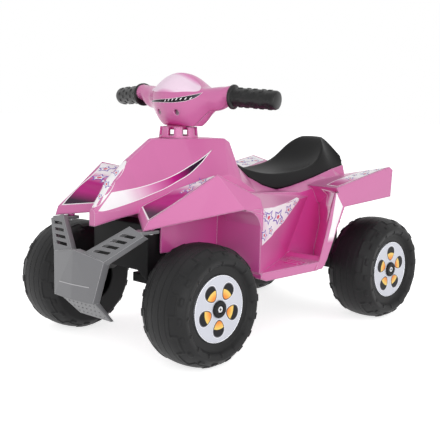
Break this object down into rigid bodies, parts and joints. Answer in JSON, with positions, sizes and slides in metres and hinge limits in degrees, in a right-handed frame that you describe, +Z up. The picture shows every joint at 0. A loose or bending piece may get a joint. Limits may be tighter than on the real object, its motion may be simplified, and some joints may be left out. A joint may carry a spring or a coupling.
{
  "type": "kids quad bike",
  "caption": "Pink battery quad bike for a small child, with a black moulded seat, swept handlebar, grey front bumper and wide black plastic wheels.",
  "frame": {"origin": "on the floor under the middle of the bike's outline", "axes": "+Z up, the front of the bike faces -Y, +X is the rider's left"},
  "size_m": [0.426, 0.725, 0.4714],
  "materials": {
    "pink_plastic": "gloss",
    "dark_pink_plastic": "gloss",
    "black_plastic": "satin",
    "seat_plastic": "satin",
    "grey_plastic": "satin",
    "silver_trim": "metallic print",
    "soft_grip": "matte",
    "steel": "zinc plated",
    "motor_steel": "plated",
    "gear_plastic": "natural nylon",
    "case_plastic": "satin",
    "battery_case": "satin",
    "lead_sheath": "satin"
  },
  "bodies": {
    "chassis": {"battery": "battery_case", "battery_strap": "black_plastic", "body_screws": "steel", "body_shell": "pink_plastic", "bumper_screws": "steel", "chassis_tray": "black_plastic", "column_bush": "gear_plastic", "column_collar": "pink_plastic", "front_bridge": "black_plastic", "front_bumper": "grey_plastic", "gearbox_inner_half": "case_plastic", "gearbox_outer_half": "case_plastic", "idler_pin": "steel", "live_lead": "lead_sheath", "motor": "motor_steel", "pedal_base": "black_plastic", "pedal_pin": "steel", "pedal_spring": "steel", "pedal_switch": "black_plastic", "rear_axle": "steel", "rear_axle_screws": "steel", "return_lead": "lead_sheath", "seat": "seat_plastic"},
    "handlebar": {"handlebar_front_cover": "pink_plastic", "handlebar_rear_cover": "pink_plastic", "handlebar_screws": "steel", "handlebar_clamp": "black_plastic", "handlebar_tube": "steel", "left_grip": "soft_grip", "right_grip": "soft_grip", "steering_column": "dark_pink_plastic", "steering_crank": "black_plastic"},
    "track_link": {"track_link": "steel"},
    "left_knuckle": {"left_knuckle": "black_plastic", "left_stub_axle": "steel", "front_left_axle_screw": "steel"},
    "right_knuckle": {"right_knuckle": "black_plastic", "right_stub_axle": "steel", "front_right_axle_screw": "steel"},
    "idler_gear": {"idler_gear": "gear_plastic"},
    "motor_pinion": {"motor_pinion": "gear_plastic"},
    "pedal": {"pedal": "black_plastic"},
    "front_left_wheel": {"front_left_tyre": "black_plastic", "front_left_trim": "silver_trim", "front_left_hub_cap": "black_plastic"},
    "front_right_wheel": {"front_right_tyre": "black_plastic", "front_right_trim": "silver_trim", "front_right_hub_cap": "black_plastic"},
    "rear_left_wheel": {"rear_left_tyre": "black_plastic", "rear_left_trim": "silver_trim", "rear_left_hub_cap": "black_plastic"},
    "rear_right_wheel": {"rear_right_tyre": "black_plastic", "rear_right_trim": "silver_trim", "rear_right_hub_cap": "black_plastic", "output_gear": "gear_plastic"}
  },
  "joints": [
    {"name": "steering", "type": "hinge", "parent": "chassis", "child": "handlebar", "pos_m": [0, -0.12752, 0.2], "axis": [0, 0, 1], "range_deg": [-14, 14]},
    {"name": "link_swing", "type": "hinge", "parent": "handlebar", "child": "track_link", "pos_m": [0, -0.09552, 0.1555], "axis": [0, 0, 1], "range_deg": [-15, 15]},
    {"name": "left_steer", "type": "hinge", "parent": "chassis", "child": "left_knuckle", "pos_m": [0.101, -0.2275, 0.13], "axis": [0, 0, 1], "range_deg": [-15, 15]},
    {"name": "right_steer", "type": "hinge", "parent": "chassis", "child": "right_knuckle", "pos_m": [-0.101, -0.2275, 0.13], "axis": [0, 0, 1], "range_deg": [-15, 15]},
    {"name": "front_left_spin", "type": "hinge", "parent": "left_knuckle", "child": "front_left_wheel", "pos_m": [0.164, -0.2275, 0.1], "axis": [1, 0, 0], "continuous": true},
    {"name": "front_right_spin", "type": "hinge", "parent": "right_knuckle", "child": "front_right_wheel", "pos_m": [-0.164, -0.2275, 0.1], "axis": [1, 0, 0], "continuous": true},
    {"name": "rear_left_spin", "type": "hinge", "parent": "chassis", "child": "rear_left_wheel", "pos_m": [0.164, 0.2625, 0.1], "axis": [1, 0, 0], "continuous": true},
    {"name": "rear_right_spin", "type": "hinge", "parent": "chassis", "child": "rear_right_wheel", "pos_m": [-0.164, 0.2625, 0.1], "axis": [1, 0, 0], "continuous": true},
    {"name": "idler_spin", "type": "hinge", "parent": "chassis", "child": "idler_gear", "pos_m": [-0.08, 0.245, 0.13031], "axis": [1, 0, 0], "continuous": true},
    {"name": "pinion_spin", "type": "hinge", "parent": "chassis", "child": "motor_pinion", "pos_m": [-0.07, 0.21794, 0.14594], "axis": [1, 0, 0], "continuous": true},
    {"name": "pedal_press", "type": "hinge", "parent": "chassis", "child": "pedal", "pos_m": [-0.154, 0.0575, 0.14508], "axis": [1, 0, 0], "range_deg": [0, 6], "stiffness_Nm_per_rad": 0.3, "springref_deg": -11.46, "deforming": ["pedal_spring"]}
  ],
  "couplings": [
    {"joint": "link_swing", "follows": "steering", "ratio": -1},
    {"joint": "left_steer", "follows": "steering", "ratio": 1},
    {"joint": "right_steer", "follows": "steering", "ratio": 1},
    {"joint": "idler_spin", "follows": "rear_right_spin", "ratio": -3.6667},
    {"joint": "pinion_spin", "follows": "rear_right_spin", "ratio": 14.667}
  ]
}
